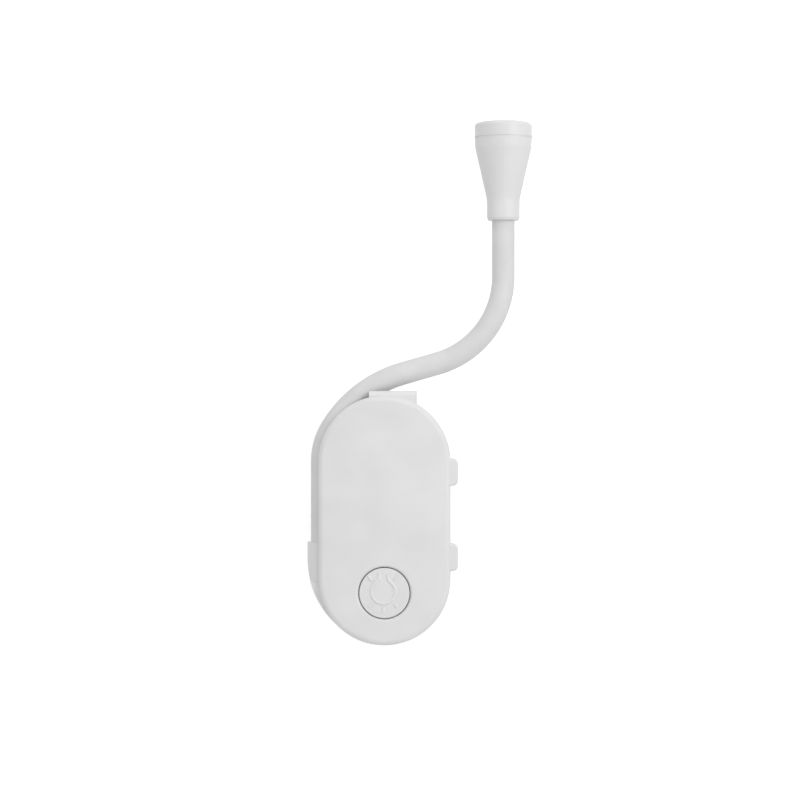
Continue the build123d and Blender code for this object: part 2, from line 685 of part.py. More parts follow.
class Route:
    """The neck's centreline: a chain of straight runs and arcs in the plane of the case."""

    def __init__(self):
        """Chains the runs from the root to the head."""
        self.runs = []
        self.length = 0.0
        self.place = (-groove_centre, neck_root_height)
        self.heading = 90.0
        self.add(end_centre - neck_root_height)
        self.add(radians(neck_wrap_angle) * groove_centre, -groove_centre)
        self.add(radians(neck_rise_angle) * neck_rise_radius, -neck_rise_radius)
        self.add(neck_bridge_length)
        self.add(radians(neck_elbow_angle) * neck_elbow_radius, neck_elbow_radius)
        self.add(neck_top_length)

    def add(self, length, radius=None):
        """Adds a run. A positive radius turns left, a negative one turns right."""
        self.runs.append((self.length, length, self.place, self.heading, radius))
        self.length += length
        self.place, self.heading = self.along(self.runs[-1], length)

    def along(self, run, distance):
        """The place and heading at a distance into one run."""
        _, _, (x, z), heading, radius = run
        angle = radians(heading)
        if radius is None:
            return (x + distance * cos(angle), z + distance * sin(angle)), heading
        turned = angle + distance / radius
        return ((x + radius * (sin(turned) - sin(angle)), z - radius * (cos(turned) - cos(angle))),
                degrees(turned))

    def at(self, distance):
        """The place and heading at a distance from the root."""
        for run in self.runs:
            if distance <= run[0] + run[1] + 1e-9:
                return self.along(run, distance - run[0])
        return self.along(self.runs[-1], distance - self.runs[-1][0])

    def edges(self, start, end, offset=0.0, extra=0.0):
        """The route between two distances as a wire, moved towards the front, with a straight run added."""
        y = -parting_depth - offset
        made = []
        for run in self.runs:
            low, high = max(start, run[0]), min(end, run[0] + run[1])
            if high - low < 1e-6:
                continue
            (x0, z0), _ = self.along(run, low - run[0])
            (x1, z1), _ = self.along(run, high - run[0])
            if run[4] is None:
                made.append(Line((x0, y, z0), (x1, y, z1)))
            else:
                (xm, zm), _ = self.along(run, (low + high) / 2 - run[0])
                made.append(ThreePointArc((x0, y, z0), (xm, y, zm), (x1, y, z1)))
        if extra > 0:
            (x0, z0), heading = self.at(end)
            angle = radians(heading)
            made.append(Line((x0, y, z0), (x0 + extra * cos(angle), y, z0 + extra * sin(angle))))
        return Wire(made)

    def plane(self, distance, offset=0.0):
        """The plane across the route at a distance from the root."""
        (x, z), heading = self.at(distance)
        return Plane(origin=(x, -parting_depth - offset, z), x_dir=(0, -1, 0),
                     z_dir=(cos(radians(heading)), 0, sin(radians(heading))))

    def tube(self, radius, start, end, offset=0.0, extra=0.0):
        """A round bar that follows the route, with a straight end."""
        return sweep(self.plane(start, offset) * Circle(radius), path=self.edges(start, end, offset, extra))


def neck_spans(route):
    """The neck's rigid spans: each has a cup at its root end and a ball at its far end."""
    rim_gap = neck_radius * tan(radians(knuckle_swing / 2)) + knuckle_rim_margin
    cup_radius = neck_radius + knuckle_clearance
    stops = [0.0] + [s for s, _ in neck_stations] + [route.length]
    spans = []
    for i in range(len(stops) - 1):
        start, end = stops[i], stops[i + 1]
        first, last = i == 0, i == len(stops) - 2
        tube_start = start if first else start + rim_gap
        sleeve = route.tube(neck_radius, tube_start, end)
        if not last:
            sleeve += route.plane(end) * Sphere(neck_radius, arc_size1=0, arc_size2=90,
                                                align=(Align.CENTER, Align.CENTER, Align.MIN))
        if not first:
            sleeve -= route.plane(start) * Sphere(cup_radius)
        sleeve -= route.tube(sleeve_bore_radius, tube_start, end, 0.0, 2 * neck_radius)
        core_start = start if first else start + cup_radius + core_start_gap
        wire_reach = sqrt((neck_radius - core_end_gap) ** 2 - wire_radius ** 2)
        lead_reach = sqrt((neck_radius - core_end_gap) ** 2 - (lead_offset + lead_radius) ** 2)
        wire = route.tube(wire_radius, core_start, end, 0.0, 0 if last else wire_reach)
        leads = [route.tube(lead_radius, core_start, end, side * lead_offset, 0 if last else lead_reach)
                 for side in (-1, 1)]
        spans.append((sleeve, wire, Compound(children=leads)))
    return spans


# Lamp head

def head_place(route):
    """The frame of the lamp head: its origin is the collar's open end, its axis points out of the lamp."""
    return route.plane(route.length - head_neck_depth)


def turned(profile):
    """A solid of revolution about Z from a list of radius and height."""
    return revolve(Plane.XZ * profile, axis=Axis.Z)


def head_bell_line(inset=0.0):
    """The bell's side line, from the collar's mouth to the seam under the ring, drawn in by a wall."""
    seam = head_length - head_ring_height
    flare_start = head_collar_length
    flare_end = flare_start + head_flare_length
    points = [(head_collar_mouth_radius - inset, 0.0), (head_collar_radius - inset, head_collar_chamfer_height),
              (head_collar_radius - inset, flare_start), (head_bell_radius - inset, flare_end),
              (head_rim_radius - inset, seam)]
    return FilletPolyline(*points, radius=[head_collar_round, head_flare_round, head_flare_round])


def head_shell(place):
    """The flared bell, with the collar's bore for the neck and an open wide end for the ring's spigot."""
    seam = head_length - head_ring_height - ring_seam / 2
    side = head_bell_line()
    seam_height = head_length - head_ring_height
    closing = Polyline((head_rim_radius, seam_height), (0, seam_height), (0, 0), (head_collar_mouth_radius, 0))
    outline = make_face(side.edges() + closing.edges())
    body = turned(outline)
    body -= Pos(0, 0, seam) * Cylinder(20, 5, align=(Align.CENTER, Align.CENTER, Align.MIN))
    inner_low = head_collar_length + head_throat
    bell_bore = head_bell_radius - head_wall
    cavity = Polygon((0, inner_low), (head_collar_radius - head_wall, inner_low),
                     (bell_bore, head_collar_length + head_flare_length - head_cavity_shoulder), (bell_bore, seam + 1),
                     (0, seam + 1), align=None)
    body -= turned(cavity)
    body -= Cylinder(neck_radius + head_bore_clearance, 2 * head_neck_depth)
    body -= Cylinder(sleeve_bore_radius, 4 * head_collar_length)
    return place * body


def head_ring(place):
    """The front ring: rounded rim, with a spigot that presses into the bell."""
    low = head_length - head_ring_height + ring_seam / 2
    ring = Pos(0, 0, low) * Cylinder(head_rim_radius, head_length - low, align=(Align.CENTER, Align.CENTER, Align.MIN))
    top = [e for e in ring.edges().filter_by(GeomType.CIRCLE) if e.center().Z > head_length - 0.01]
    ring = fillet(top, head_rim_fillet)
    spigot_radius = head_bell_radius - head_wall - spigot_clearance
    ring += Pos(0, 0, low - ring_spigot_height) * Cylinder(
        spigot_radius, ring_spigot_height + 0.5, align=(Align.CENTER, Align.CENTER, Align.MIN))
    seat = head_length - lens_recess - lens_thickness
    ring -= Pos(0, 0, seat) * Cylinder(lens_radius + lens_clearance, 5, align=(Align.CENTER, Align.CENTER, Align.MIN))
    ring -= Pos(0, 0, low - 5) * Cylinder(spigot_radius - ring_spigot_wall, 20,
                                          align=(Align.CENTER, Align.CENTER, Align.MIN))
    return place * ring


def head_lens(place):
    """The clear lens, a plano-convex disc in the ring's seat."""
    seat = head_length - lens_recess - lens_thickness
    disc = Pos(0, 0, seat) * Cylinder(lens_radius, lens_thickness, align=(Align.CENTER, Align.CENTER, Align.MIN))
    return place * disc


def head_reflector(place):
    """The cone between the lamp and the lens."""
    spigot_radius = head_bell_radius - head_wall - spigot_clearance
    top = head_length - lens_recess - lens_thickness - reflector_clearance
    low = led_base_height + led_rim_height + reflector_low
    narrow = led_radius + reflector_clearance
    wide = spigot_radius - ring_spigot_wall - reflector_clearance
    cone = Polygon((narrow, low), (narrow + reflector_wall, low), (wide, top), (wide - reflector_wall, top), align=None)
    return place * turned(cone)


def head_led(place):
    """The 5 mm lamp: rimmed base, cylinder and dome."""
    rim = Pos(0, 0, led_base_height) * Cylinder(led_rim_radius, led_rim_height,
                                                align=(Align.CENTER, Align.CENTER, Align.MIN))
    body = Pos(0, 0, led_base_height) * Cylinder(led_radius, led_body_height - led_radius + led_rim_height,
                                                 align=(Align.CENTER, Align.CENTER, Align.MIN))
    dome = Pos(0, 0, led_base_height + led_rim_height + led_body_height - led_radius) * Sphere(led_radius)
    return place * (rim + body + dome)


def head_led_pins(place):
    """The lamp's two legs, down to the neck's leads."""
    pins = [Pos(side * led_pin_offset, 0, led_base_height) * Cylinder(
        led_pin_radius, led_pin_length, align=(Align.CENTER, Align.CENTER, Align.MAX)) for side in (-1, 1)]
    return Compound(children=[place * pin for pin in pins])


def head_holder(place):
    """The plug that holds the lamp by its rim in the bell and guides the pins."""
    seat_radius = head_bell_radius - head_wall
    low = led_base_height - holder_gap - holder_thickness
    share = (low - head_collar_length - head_throat) / (head_flare_length - head_throat - head_cavity_shoulder)
    narrow = head_collar_radius - head_wall
    lower_radius = narrow + share * (seat_radius - narrow) - holder_clearance
    plug = Pos(0, 0, low) * Cylinder(lower_radius, holder_thickness, align=(Align.CENTER, Align.CENTER, Align.MIN))
    for side in (-1, 1):
        plug -= Pos(side * led_pin_offset, 0, 0) * Cylinder(led_pin_radius + 0.05, 60)
    return place * plug


def build():
    """Makes every piece and returns them by name."""
    route = Route()
    place = head_place(route)
    flange_near = roof_depth - roof_running_gap - button_flange_thickness
    pieces = {
        "front_cover": front_cover(),
        "rear_shell": rear_shell(),
        "neck_clamp": neck_clamp(),
        "neck_anchor": neck_anchor(),
        "case_screws": case_screws(),
        "coin_cell_back": coin_cell(cell_back_depth),
        "coin_cell_front": coin_cell(cell_back_depth + cell_thickness),
        "contact_back": contact_back(),
        "contact_front": contact_front(),
        "circuit_board": circuit_board(),
        "switch_body": switch_body(),
        "switch_plunger": switch_plunger(flange_near),
        "button_cap": button_cap(),
        "resistor": resistor(),
        "board_leads": board_leads(),
        "clip_lever": clip_lever(),
        "clip_pin": clip_pin(),
        "clip_spring": clip_spring(),
        "case_grip_pad": grip_pad(0.0, 1),
        "lever_grip_pad": grip_pad(clip_jaw_gap, -1),
        "head_shell": head_shell(place),
        "head_ring": head_ring(place),
        "head_lens": head_lens(place),
        "head_reflector": head_reflector(place),
        "head_led": head_led(place),
        "head_led_pins": head_led_pins(place),
        "head_led_holder": head_holder(place),
    }
    for i, (sleeve, wire, leads) in enumerate(neck_spans(route)):
        pieces[f"neck_sleeve_{i}"] = sleeve
        pieces[f"neck_wire_{i}"] = wire
        pieces[f"neck_leads_{i}"] = leads
    return pieces


os.makedirs("parts", exist_ok=True)
for name, piece in build().items():
    export_step(piece, f"parts/{name}.step")
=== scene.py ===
"""Looks for the clip-on book light: finishes, the bending neck sleeve, the button's symbol and the studio.

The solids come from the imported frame. This script dresses them, stands a continuous sleeve in for the
neck's rigid spans, a winding coil in for the clip's spring and a domed lens in for the flat one, adds the
symbol, the lamp's inner parts and the seam's bead, and lights the part on a white set.
"""

import json
import logging
import math
from collections.abc import Iterator, Sequence
from contextlib import contextmanager
from dataclasses import dataclass
from enum import Enum

import bpy
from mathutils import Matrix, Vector

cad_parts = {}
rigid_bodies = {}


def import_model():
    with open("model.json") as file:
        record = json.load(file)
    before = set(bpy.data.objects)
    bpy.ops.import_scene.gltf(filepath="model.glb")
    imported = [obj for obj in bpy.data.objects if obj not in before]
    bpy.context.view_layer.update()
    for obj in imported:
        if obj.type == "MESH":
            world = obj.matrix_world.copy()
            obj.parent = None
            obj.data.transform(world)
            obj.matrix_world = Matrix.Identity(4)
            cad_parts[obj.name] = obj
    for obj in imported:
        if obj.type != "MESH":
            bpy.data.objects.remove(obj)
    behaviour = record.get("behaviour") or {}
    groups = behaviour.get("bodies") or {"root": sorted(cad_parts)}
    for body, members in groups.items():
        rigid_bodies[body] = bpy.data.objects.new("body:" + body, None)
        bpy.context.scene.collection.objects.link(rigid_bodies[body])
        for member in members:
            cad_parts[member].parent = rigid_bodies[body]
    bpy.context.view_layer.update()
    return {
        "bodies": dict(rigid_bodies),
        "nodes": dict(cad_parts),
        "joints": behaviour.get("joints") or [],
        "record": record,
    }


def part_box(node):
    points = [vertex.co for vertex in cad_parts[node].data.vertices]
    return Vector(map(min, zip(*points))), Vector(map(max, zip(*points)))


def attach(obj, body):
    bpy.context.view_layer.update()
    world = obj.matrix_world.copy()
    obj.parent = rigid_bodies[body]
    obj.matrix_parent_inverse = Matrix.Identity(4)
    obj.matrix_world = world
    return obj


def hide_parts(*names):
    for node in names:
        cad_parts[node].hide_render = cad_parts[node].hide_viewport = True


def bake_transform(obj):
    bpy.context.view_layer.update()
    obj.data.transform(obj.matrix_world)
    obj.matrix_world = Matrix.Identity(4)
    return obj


LOG = logging.getLogger("book_light")
MM = 0.001
SPIN_SENSE = -1.0             # the spin operator turns against the right-hand rule

Colour = tuple[float, float, float, float]
Place = tuple[float, float, float]


class Turn(Enum):
    """Which way a bend of the neck turns it."""

    SWAY = "in the plane of the case"
    NOD = "towards the reader and back"


def linear(code: str, alpha: float = 1.0) -> Colour:
    """Turns an sRGB hex colour into linear light.

    Args:
        code: Six hex digits, with or without a hash.
        alpha: The fourth channel.

    Returns:
        Red, green, blue and alpha.
    """
    digits = code.lstrip("#")
    parts = [int(digits[i:i + 2], 16) / 255 for i in (0, 2, 4)]
    red, green, blue = (c / 12.92 if c <= 0.04045 else ((c + 0.055) / 1.055) ** 2.4 for c in parts)
    return red, green, blue, alpha


def add_node(tree: bpy.types.NodeTree, kind: str, settings: dict | None = None,
             links: dict | None = None) -> bpy.types.Node:
    """Adds a node with its settings and its incoming links.

    Args:
        tree: The node tree.
        kind: The node's type name, without the leading ShaderNode.
        settings: Socket names or attribute names, with their values.
        links: Socket names, with the output sockets that feed them.

    Returns:
        The new node.
    """
    node = tree.nodes.new("ShaderNode" + kind)
    for name, value in (settings or {}).items():
        if name in node.inputs:
            node.inputs[name].default_value = value
        else:
            setattr(node, name, value)
    for name, source in (links or {}).items():
        tree.links.new(source, node.inputs[name])
    return node


@contextmanager
def editing(piece: bpy.types.Object) -> Iterator[None]:
    """Opens a piece in edit mode, with all of its mesh selected, and closes it again."""
    bpy.ops.object.select_all(action="DESELECT")
    piece.select_set(True)
    bpy.context.view_layer.objects.active = piece
    bpy.ops.object.mode_set(mode="EDIT")
    bpy.ops.mesh.select_all(action="SELECT")
    yield
    bpy.ops.object.mode_set(mode="OBJECT")


def settle(piece: bpy.types.Object, angle: float = 40.0) -> bpy.types.Object:
    """Puts a piece's place into its mesh and shades it smooth up to an angle.

    Args:
        piece: The piece, selected and active.
        angle: The largest angle between faces that still shades smooth, in degrees.

    Returns:
        The same piece.
    """
    bpy.ops.object.transform_apply(location=True, rotation=True, scale=True)
    bpy.ops.object.shade_smooth_by_angle(angle=math.radians(angle))
    return piece


def close_and_orient() -> None:
    """Merges doubles, closes open ends and turns all faces outwards, in edit mode."""
    bpy.ops.mesh.select_all(action="SELECT")
    bpy.ops.mesh.remove_doubles(threshold=1e-6)
    bpy.ops.mesh.fill_holes(sides=0)
    bpy.ops.mesh.select_all(action="SELECT")
    bpy.ops.mesh.normals_make_consistent(inside=False)


# Finishes


@dataclass(frozen=True)
class Finish:
    """A surface: its name, its colour and how it was made."""

    name: str
    colour: str
    roughness: float

    def start(self) -> tuple[bpy.types.NodeTree, bpy.types.Node, bpy.types.NodeSocket]:
        """Makes an empty material tree.

        Returns:
            The tree, the main shader and the Object coordinate's socket.
        """
        material = bpy.data.materials.new(self.name)
        material.use_nodes = True
        tree = material.node_tree
        tree.nodes.clear()
        shader = add_node(tree, "BsdfPrincipled", {"Base Color": linear(self.colour),
                                                   "Roughness": self.roughness})
        add_node(tree, "OutputMaterial", links={"Surface": shader.outputs["BSDF"]})
        return tree, shader, add_node(tree, "TexCoord").outputs["Object"]

    def grain(self, tree: bpy.types.NodeTree, coordinate: bpy.types.NodeSocket, size_mm: float,
              detail: float = 2.0, stretch: Place = (1.0, 1.0, 1.0)) -> bpy.types.NodeSocket:
        """Adds a noise whose grains have a real size.

        Args:
            tree: The material's tree.
            coordinate: The coordinate to read, in metres.
            size_mm: The width of one grain.
            detail: How many finer layers it has.
            stretch: How much finer the grain is along X, Y and Z.

        Returns:
            The noise's value.
        """
        turned = add_node(tree, "Mapping", {"Scale": stretch}, {"Vector": coordinate})
        return add_node(tree, "TexNoise", {"Scale": 1.0 / (size_mm * MM), "Detail": detail},
                        {"Vector": turned.outputs["Vector"]}).outputs["Fac"]

    def relief(self, tree: bpy.types.NodeTree, shader: bpy.types.Node, height: bpy.types.NodeSocket,
               depth_mm: float, strength: float = 1.0) -> None:
        """Feeds a height into the shader's normal.

        Args:
            tree: The material's tree.
            shader: The main shader.
            height: A value from 0 to 1.
            depth_mm: The height that 1 stands for.
            strength: How much of it shows.
        """
        bump = add_node(tree, "Bump", {"Distance": depth_mm * MM, "Strength": strength}, {"Height": height})
        tree.links.new(bump.outputs["Normal"], shader.inputs["Normal"])

    def vary(self, tree: bpy.types.NodeTree, value: bpy.types.NodeSocket, low: float,
             high: float) -> bpy.types.NodeSocket:
        """Maps a noise onto a range of numbers."""
        return add_node(tree, "MapRange", {"To Min": low, "To Max": high}, {"Value": value}).outputs["Result"]

    def tint(self, tree: bpy.types.NodeTree, shader: bpy.types.Node, value: bpy.types.NodeSocket,
             dark: str, light: str) -> None:
        """Lets a noise drift the base colour between two near tones."""
        ramp = add_node(tree, "ValToRGB", links={"Fac": value})
        ramp.color_ramp.elements[0].position = 0.3
        ramp.color_ramp.elements[0].color = linear(dark)
        ramp.color_ramp.elements[1].position = 0.7
        ramp.color_ramp.elements[1].color = linear(light)
        tree.links.new(ramp.outputs["Color"], shader.inputs["Base Color"])

    def build(self) -> bpy.types.Material:
        """Makes the material."""
        raise NotImplementedError


@dataclass(frozen=True)
class MouldedPlastic(Finish):
    """Injection-moulded ABS or similar: an even colour and a satin skin from a spark-eroded tool."""

    dark: str = "#E2E2E2"
    light: str = "#E8E8E8"
    grain_mm: float = 0.22
    grain_depth_mm: float = 0.004
    drift_mm: float = 9.0
    refraction: float = 1.53

    def build(self) -> bpy.types.Material:
        """Makes the material: fine satin grain, and a slow drift of colour and gloss across the wall."""
        tree, shader, place = self.start()
        # The tool's grain is near 0.05 mm. It is drawn four times as coarse, so that it shows at all.
        fine = self.grain(tree, place, self.grain_mm, 3.0)
        slow = self.grain(tree, place, self.drift_mm)
        self.tint(tree, shader, slow, self.dark, self.light)
        tree.links.new(self.vary(tree, fine, self.roughness - 0.05, self.roughness + 0.05),
                       shader.inputs["Roughness"])
        shader.inputs["IOR"].default_value = self.refraction
        self.relief(tree, shader, fine, self.grain_depth_mm, 0.6)
        return bpy.data.materials[self.name]


@dataclass(frozen=True)
class Silicone(Finish):
    """Extruded silicone rubber: matte, slightly soft at grazing angles, with faint lengthwise draw lines."""

    dark: str = "#DCDCDC"
    light: str = "#E3E3E3"
    skin_mm: float = 0.3
    drift_mm: float = 6.0
    refraction: float = 1.41
    sheen: float = 0.08
    sheen_roughness: float = 0.5

    def build(self) -> bpy.types.Material:
        """Makes the material: a dusty matte skin with a soft sheen at the edges."""
        tree, shader, place = self.start()
        skin = self.grain(tree, place, self.skin_mm, 3.0)
        slow = self.grain(tree, place, self.drift_mm)
        self.tint(tree, shader, slow, self.dark, self.light)
        tree.links.new(self.vary(tree, skin, self.roughness - 0.06, self.roughness + 0.06),
                       shader.inputs["Roughness"])
        shader.inputs["IOR"].default_value = self.refraction
        shader.inputs["Sheen Weight"].default_value = self.sheen
        shader.inputs["Sheen Roughness"].default_value = self.sheen_roughness
        self.relief(tree, shader, skin, 0.006, 0.5)
        return bpy.data.materials[self.name]


@dataclass(frozen=True)
class Rubber(Finish):
    """Moulded grip rubber: matte and faintly pebbled."""

    dark: str = "#8A8C90"
    light: str = "#95979B"
    pebble_mm: float = 0.35
    drift_mm: float = 3.0

    def build(self) -> bpy.types.Material:
        """Makes the material: pebbles of a third of a millimetre in a matte skin."""
        tree, shader, place = self.start()
        pebble = add_node(tree, "TexVoronoi", {"Scale": 1.0 / (self.pebble_mm * MM)}, {"Vector": place})
        slow = self.grain(tree, place, self.drift_mm)
        self.tint(tree, shader, slow, self.dark, self.light)
        self.relief(tree, shader, pebble.outputs["Distance"], 0.03, 0.5)
        return bpy.data.materials[self.name]


@dataclass(frozen=True)
class DrawnMetal(Finish):
    """Drawn, rolled or plated metal: lengthwise lines and small changes of gloss."""

    dark: str = "#A8A9AC"
    light: str = "#C2C3C6"
    stretch: Place = (1.0, 1.0, 0.08)
    line_mm: float = 0.12
    drift_mm: float = 2.5

    def build(self) -> bpy.types.Material:
        """Makes the material: fine lines along the draw direction."""
        tree, shader, place = self.start()
        lines = self.grain(tree, place, self.line_mm, stretch=self.stretch)
        slow = self.grain(tree, place, self.drift_mm)
        self.tint(tree, shader, slow, self.dark, self.light)
        tree.links.new(self.vary(tree, lines, self.roughness - 0.06, self.roughness + 0.08),
                       shader.inputs["Roughness"])
        shader.inputs["Metallic"].default_value = 1.0
        self.relief(tree, shader, lines, 0.003, 0.5)
        return bpy.data.materials[self.name]


@dataclass(frozen=True)
class ClearResin(Finish):
    """Clear moulded resin, such as a PMMA lens or an epoxy lamp body."""

    refraction: float = 1.49
    flow_mm: float = 2.0

    def build(self) -> bpy.types.Material:
        """Makes the material: clear, with the slight unevenness of a moulded face."""
        tree, shader, place = self.start()
        flow = self.grain(tree, place, self.flow_mm, 1.0)
        tree.links.new(self.vary(tree, flow, self.roughness, self.roughness + 0.04), shader.inputs["Roughness"])
        shader.inputs["Transmission Weight"].default_value = 1.0
        shader.inputs["IOR"].default_value = self.refraction
        self.relief(tree, shader, flow, 0.004, 0.3)
        return bpy.data.materials[self.name]


@dataclass(frozen=True)
class BoardLaminate(Finish):
    """Glass-fibre laminate under a solder mask: the cloth's weave shows faintly through the lacquer."""

    dark: str = "#1E5A34"
    light: str = "#2A6B40"
    weave_mm: float = 3.0

    def build(self) -> bpy.types.Material:
        """Makes the material: a fine weave of half a millimetre under a gloss coat."""
        tree, shader, place = self.start()
        weave = add_node(tree, "TexWave", {"Scale": 1.0 / (self.weave_mm * MM), "wave_type": "BANDS",
                                           "bands_direction": "DIAGONAL"}, {"Vector": place})
        self.tint(tree, shader, weave.outputs["Fac"], self.dark, self.light)
        self.relief(tree, shader, weave.outputs["Fac"], 0.01, 0.5)
        return bpy.data.materials[self.name]


WHITE_ABS = MouldedPlastic("white ABS, satin moulded", "#E5E5E5", 0.42)
WHITE_ABS_BUTTON = MouldedPlastic("white ABS, satin moulded button", "#E5E5E5", 0.40)
WHITE_ABS_HEAD = MouldedPlastic("white ABS, satin moulded lamp head", "#E5E5E5", 0.40)
WHITE_SILICONE = Silicone("white silicone, extruded", "#E0E0E0", 0.55)
GREY_RUBBER = Rubber("grey grip rubber, moulded", "#909296", 0.75)
SPRING_WIRE = DrawnMetal("spring steel wire, drawn", "#B4B5B8", 0.3)
PIN_STEEL = DrawnMetal("nickel-plated steel pin", "#BFC0C2", 0.22, "#B4B5B7", "#CACBCD", (0.08, 1.0, 1.0))
SCREW_STEEL = DrawnMetal("nickel-plated screw steel", "#BFC0C2", 0.28, "#B0B1B3", "#C8C9CB", (1.0, 0.2, 1.0))
CELL_STEEL = DrawnMetal("nickel-plated cell can", "#C4C5C6", 0.25, "#B9BABC", "#CECFD0", (0.1, 1.0, 1.0))
BRASS = DrawnMetal("plated contact brass, rolled", "#C9A24B", 0.3, "#BC9440", "#D2AD5A")
REFLECTOR = DrawnMetal("aluminised reflector", "#D8D9DB", 0.12, "#D0D1D3", "#E0E1E2", (1.0, 1.0, 0.5), 0.4)
BLACK_PLASTIC = MouldedPlastic("black switch nylon, moulded", "#1B1B1D", 0.5, "#18181A", "#202022")
LEAD_SKIN = MouldedPlastic("lead insulation, extruded", "#2A2A2E", 0.45, "#26262A", "#303034")
BOARD = BoardLaminate("green laminate, lacquered", "#245F38", 0.35)
LENS_CLEAR = ClearResin("clear PMMA lens, moulded", "#F7F9FA", 0.03)
LAMP_RESIN = ClearResin("clear epoxy lamp body", "#F6F5EC", 0.05, 1.54)

PHOSPHOR = MouldedPlastic("yellow lamp phosphor, potted", "#E8D65A", 0.7, "#E2CF50", "#EDDC66")

FINISH_OF_SLOT: dict[str, Finish] = {
    "case_plastic": WHITE_ABS, "button_plastic": WHITE_ABS_BUTTON, "head_plastic": WHITE_ABS_HEAD,
    "holder_plastic": WHITE_ABS, "neck_silicone": WHITE_SILICONE, "grip_rubber": GREY_RUBBER,
    "wire_steel": SPRING_WIRE, "spring_steel": SPRING_WIRE, "pin_steel": PIN_STEEL,
    "screw_steel": SCREW_STEEL, "crimp_brass": BRASS, "contact_brass": BRASS, "cell_steel": CELL_STEEL,
    "board_laminate": BOARD, "switch_plastic": BLACK_PLASTIC, "plunger_plastic": BLACK_PLASTIC,
    "resistor_ceramic": BLACK_PLASTIC, "lead_insulation": LEAD_SKIN, "lens_clear": LENS_CLEAR,
    "led_resin": LAMP_RESIN, "reflector_metal": REFLECTOR,
}


class FinishShelf:
    """Makes each finish once and puts it on solids and pieces."""

    def __init__(self) -> None:
        """Starts with no finish made."""
        self.made: dict[str, bpy.types.Material] = {}

    def get(self, slot: str) -> bpy.types.Material:
        """Gives the material of one of the record's slots."""
        return self.made_from(FINISH_OF_SLOT[slot])

    def made_from(self, finish: Finish) -> bpy.types.Material:
        """Gives the material of a finish, which it makes the first time."""
        if finish.name not in self.made:
            self.made[finish.name] = finish.build()
        return self.made[finish.name]

    def dress(self, piece: bpy.types.Object, slot: str) -> None:
        """Gives a new piece the finish of a slot."""
        piece.data.materials.clear()
        piece.data.materials.append(self.get(slot))

    def dress_solids(self, frame: dict) -> None:
        """Gives every solid of the frame the finish of its slot.
        """
        for part in frame["record"]["subparts"]:
            solid = frame["nodes"][part["node"]]
            if not solid.material_slots:
                solid.data.materials.append(None)
            for holder in solid.material_slots:
                holder.material = self.get(part["material_slot"])
            LOG.info("dressed %s as %s", part["node"], FINISH_OF_SLOT[part["material_slot"]].name)


# Shapes swept along straight runs and arcs in the plane of the case


@dataclass(frozen=True)
class Run:
    """A straight run or an arc. A positive radius turns left seen from the front, in mm."""

    length: float
    radius: float | None = None


@dataclass
class Track:
    """A chain of runs in a plane parallel to the front face, in mm."""

    start: tuple[float, float]
    heading: float
    depth: float
    runs: Sequence[Run]

    def walk(self) -> Iterator[tuple[float, Run, tuple[float, float], float]]:
        """Gives each run with the distance, place and heading at its start."""
        distance, place, heading = 0.0, self.start, self.heading
        for run in self.runs:
            yield distance, run, place, heading
            place, heading = self.along(run, place, heading, run.length)
            distance += run.length

    @staticmethod
    def along(run: Run, place: tuple[float, float], heading: float,
              distance: float) -> tuple[tuple[float, float], float]:
        """Gives the place and heading at a distance into a run."""
        angle = math.radians(heading)
        if run.radius is None:
            return (place[0] + distance * math.cos(angle), place[1] + distance * math.sin(angle)), heading
        turned = angle + distance / run.radius
        return ((place[0] + run.radius * (math.sin(turned) - math.sin(angle)),
                 place[1] - run.radius * (math.cos(turned) - math.cos(angle))), math.degrees(turned))

    def at(self, distance: float) -> tuple[tuple[float, float], float]:
        """Gives the place and heading at a distance from the start."""
        for begun, run, place, heading in self.walk():
            if distance <= begun + run.length + 1e-9:
                return self.along(run, place, heading, distance - begun)
        return self.along(run, place, heading, distance - begun)

    def point(self, distance: float, beyond: float = 0.0) -> Vector:
        """Gives the place at a distance, in metres, moved straight on by a further distance in mm."""
        (x, z), heading = self.at(distance)
        angle = math.radians(heading)
        return Vector((x + beyond * math.cos(angle), -self.depth, z + beyond * math.sin(angle))) * MM

    def sweep(self, name: str, radius: float, low: float, high: float, spacing: float,
              sides: int) -> bpy.types.Object:
        """Sweeps a ring along the track and closes its ends.

        Args:
            name: The piece's name.
            radius: The ring's radius in mm.
            low: Where the piece starts, in mm from the track's start.
            high: Where it ends.
            spacing: The largest distance between rings in mm.
            sides: How many sides the ring has.

        Returns:
            The piece, with its place in its mesh.
        """
        (x, z), heading = self.at(low)
        bpy.ops.object.select_all(action="DESELECT")
        bpy.ops.mesh.primitive_circle_add(vertices=sides, radius=radius * MM, fill_type="NOTHING",
                                          location=self.point(low),
                                          rotation=(0.0, math.radians(90.0 - heading), 0.0))
        piece = bpy.context.object
        piece.name = piece.data.name = name
        with editing(piece):
            for begun, run, place, facing in self.walk():
                first, last = max(low, begun), min(high, begun + run.length)
                if last - first > 1e-6:
                    self.lay(run, place, facing, first - begun, last - first, spacing)
            close_and_orient()
        return settle(piece)

    def lay(self, run: Run, place: tuple[float, float], heading: float, skip: float, length: float,
            spacing: float) -> None:
        """Extrudes the selected ring along a part of a run.

        Args:
            run: The run.
            place: The run's start.
            heading: The heading there.
            skip: How far into the run the part starts.
            length: The part's length.
            spacing: The largest distance between rings.
        """
        steps = max(1, math.ceil(length / spacing))
        angle = math.radians(heading)
        if run.radius is None:
            step = Vector((math.cos(angle), 0.0, math.sin(angle))) * (length / steps * MM)
            for _ in range(steps):
                bpy.ops.mesh.extrude_region_move(TRANSFORM_OT_translate={"value": step})
            return
        (x, z), facing = self.along(run, place, heading, skip)
        side = math.radians(facing)
        centre = Vector((x - run.radius * math.sin(side), -self.depth, z + run.radius * math.cos(side))) * MM
        bpy.ops.mesh.spin(steps=steps, angle=SPIN_SENSE * length / run.radius, center=centre, axis=(0.0, -1.0, 0.0))


